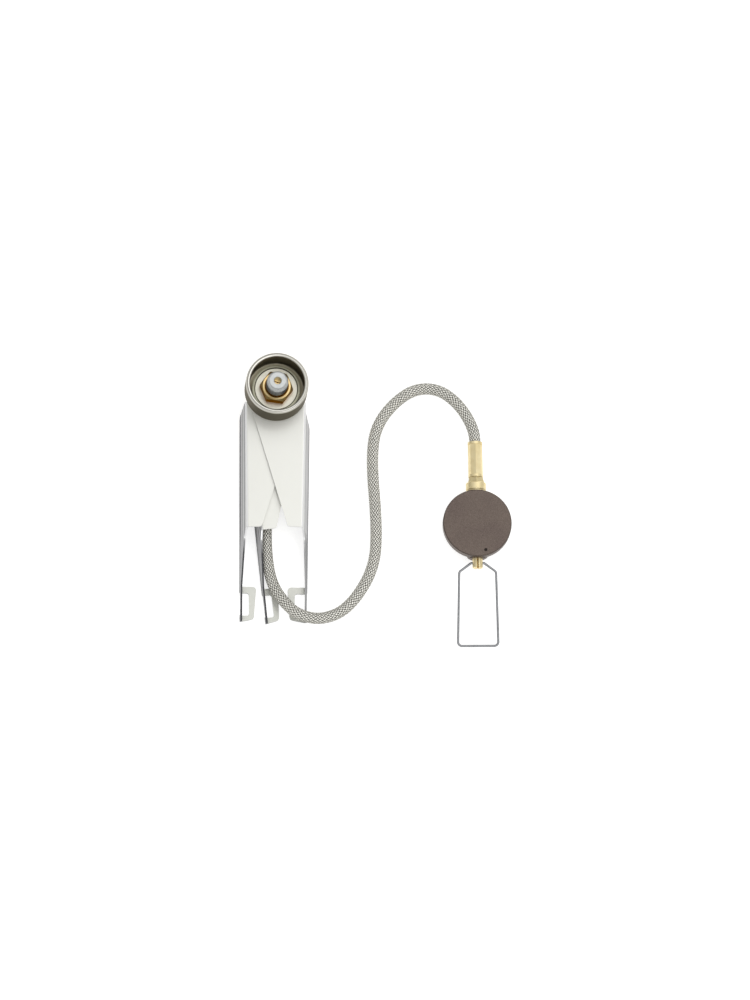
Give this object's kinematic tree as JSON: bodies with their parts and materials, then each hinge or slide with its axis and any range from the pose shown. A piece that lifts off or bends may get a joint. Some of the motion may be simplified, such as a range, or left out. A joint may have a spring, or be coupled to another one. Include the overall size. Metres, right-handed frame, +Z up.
{
  "type": "folding gas burner base",
  "caption": "Folding gas burner base: sheet legs swing out under a cup with a threaded post, fed by a braided hose from a screw-on canister valve with a wire handle.",
  "frame": {"origin": "hub axis at table level, on the flat underside of the inlet block", "axes": "+Z up along the gas post, folded legs point along -Y, the valve lies on the +X side"},
  "size_m": [0.1384, 0.1448, 0.038],
  "materials": {
    "leg_steel": "bright rolled sheet",
    "cup_steel": "drawn, satin",
    "floor_steel": "satin",
    "plated_steel": "zinc plated",
    "wire_steel": "drawn wire",
    "steel_braid": "woven wire braid",
    "brass": "machined",
    "pale_brass": "machined, bright",
    "dark_anodised": "dark brown anodised, satin",
    "seal_rubber": "moulded"
  },
  "bodies": {
    "base": {"right_leg": "leg_steel", "inlet_block": "brass", "post_gasket": "seal_rubber", "hub_sleeve": "plated_steel", "thrust_washer": "plated_steel", "lower_leg_washer": "plated_steel", "upper_leg_washer": "plated_steel", "gas_post": "plated_steel", "post_filter": "brass", "post_filter_screw": "brass", "burner_cup": "cup_steel", "cup_standoff": "cup_steel", "cup_floor": "floor_steel", "post_nut": "brass", "base_hose_nipple": "brass", "base_hose_ferrule": "pale_brass", "braided_hose": "steel_braid", "valve_hose_ferrule": "pale_brass", "valve_hose_adapter": "pale_brass", "adapter_washer": "plated_steel", "valve_body": "dark_anodised", "canister_seal": "seal_rubber", "depressor_pin": "pale_brass", "valve_seat": "brass", "gland_bush": "pale_brass", "gland_lock_pin": "plated_steel"},
    "middle_leg": {"middle_leg": "leg_steel"},
    "left_leg": {"left_leg": "leg_steel"},
    "needle": {"valve_needle": "plated_steel"},
    "spindle": {"valve_spindle": "pale_brass", "spindle_seal": "seal_rubber"},
    "bail": {"wire_bail": "wire_steel"}
  },
  "joints": [
    {"name": "middle_leg_swivel", "type": "hinge", "parent": "base", "child": "middle_leg", "pos_m": [0, 0, 0.01325], "axis": [0, 0, 1], "range_deg": [-128, 0]},
    {"name": "left_leg_swivel", "type": "hinge", "parent": "middle_leg", "child": "left_leg", "pos_m": [0, 0, 0.01465], "axis": [0, 0, 1], "range_deg": [-114, 0]},
    {"name": "needle_slide", "type": "slide", "parent": "base", "child": "needle", "axis": [0.0192, -0.9998, 0], "range_m": [0, 0.0015]},
    {"name": "spindle_turn", "type": "hinge", "parent": "needle", "child": "spindle", "pos_m": [0.10348, -0.0867, 0.0084], "axis": [0.0192, -0.9998, 0], "range_deg": [0, 720]},
    {"name": "bail_fold", "type": "hinge", "parent": "spindle", "child": "bail", "pos_m": [0.10348, -0.0867, 0.0084], "axis": [-0.9998, -0.0192, 0], "range_deg": [-75, 130]}
  ],
  "couplings": [
    {"joint": "needle_slide", "follows": "spindle_turn", "m_per_rad": 0.00011936}
  ]
}
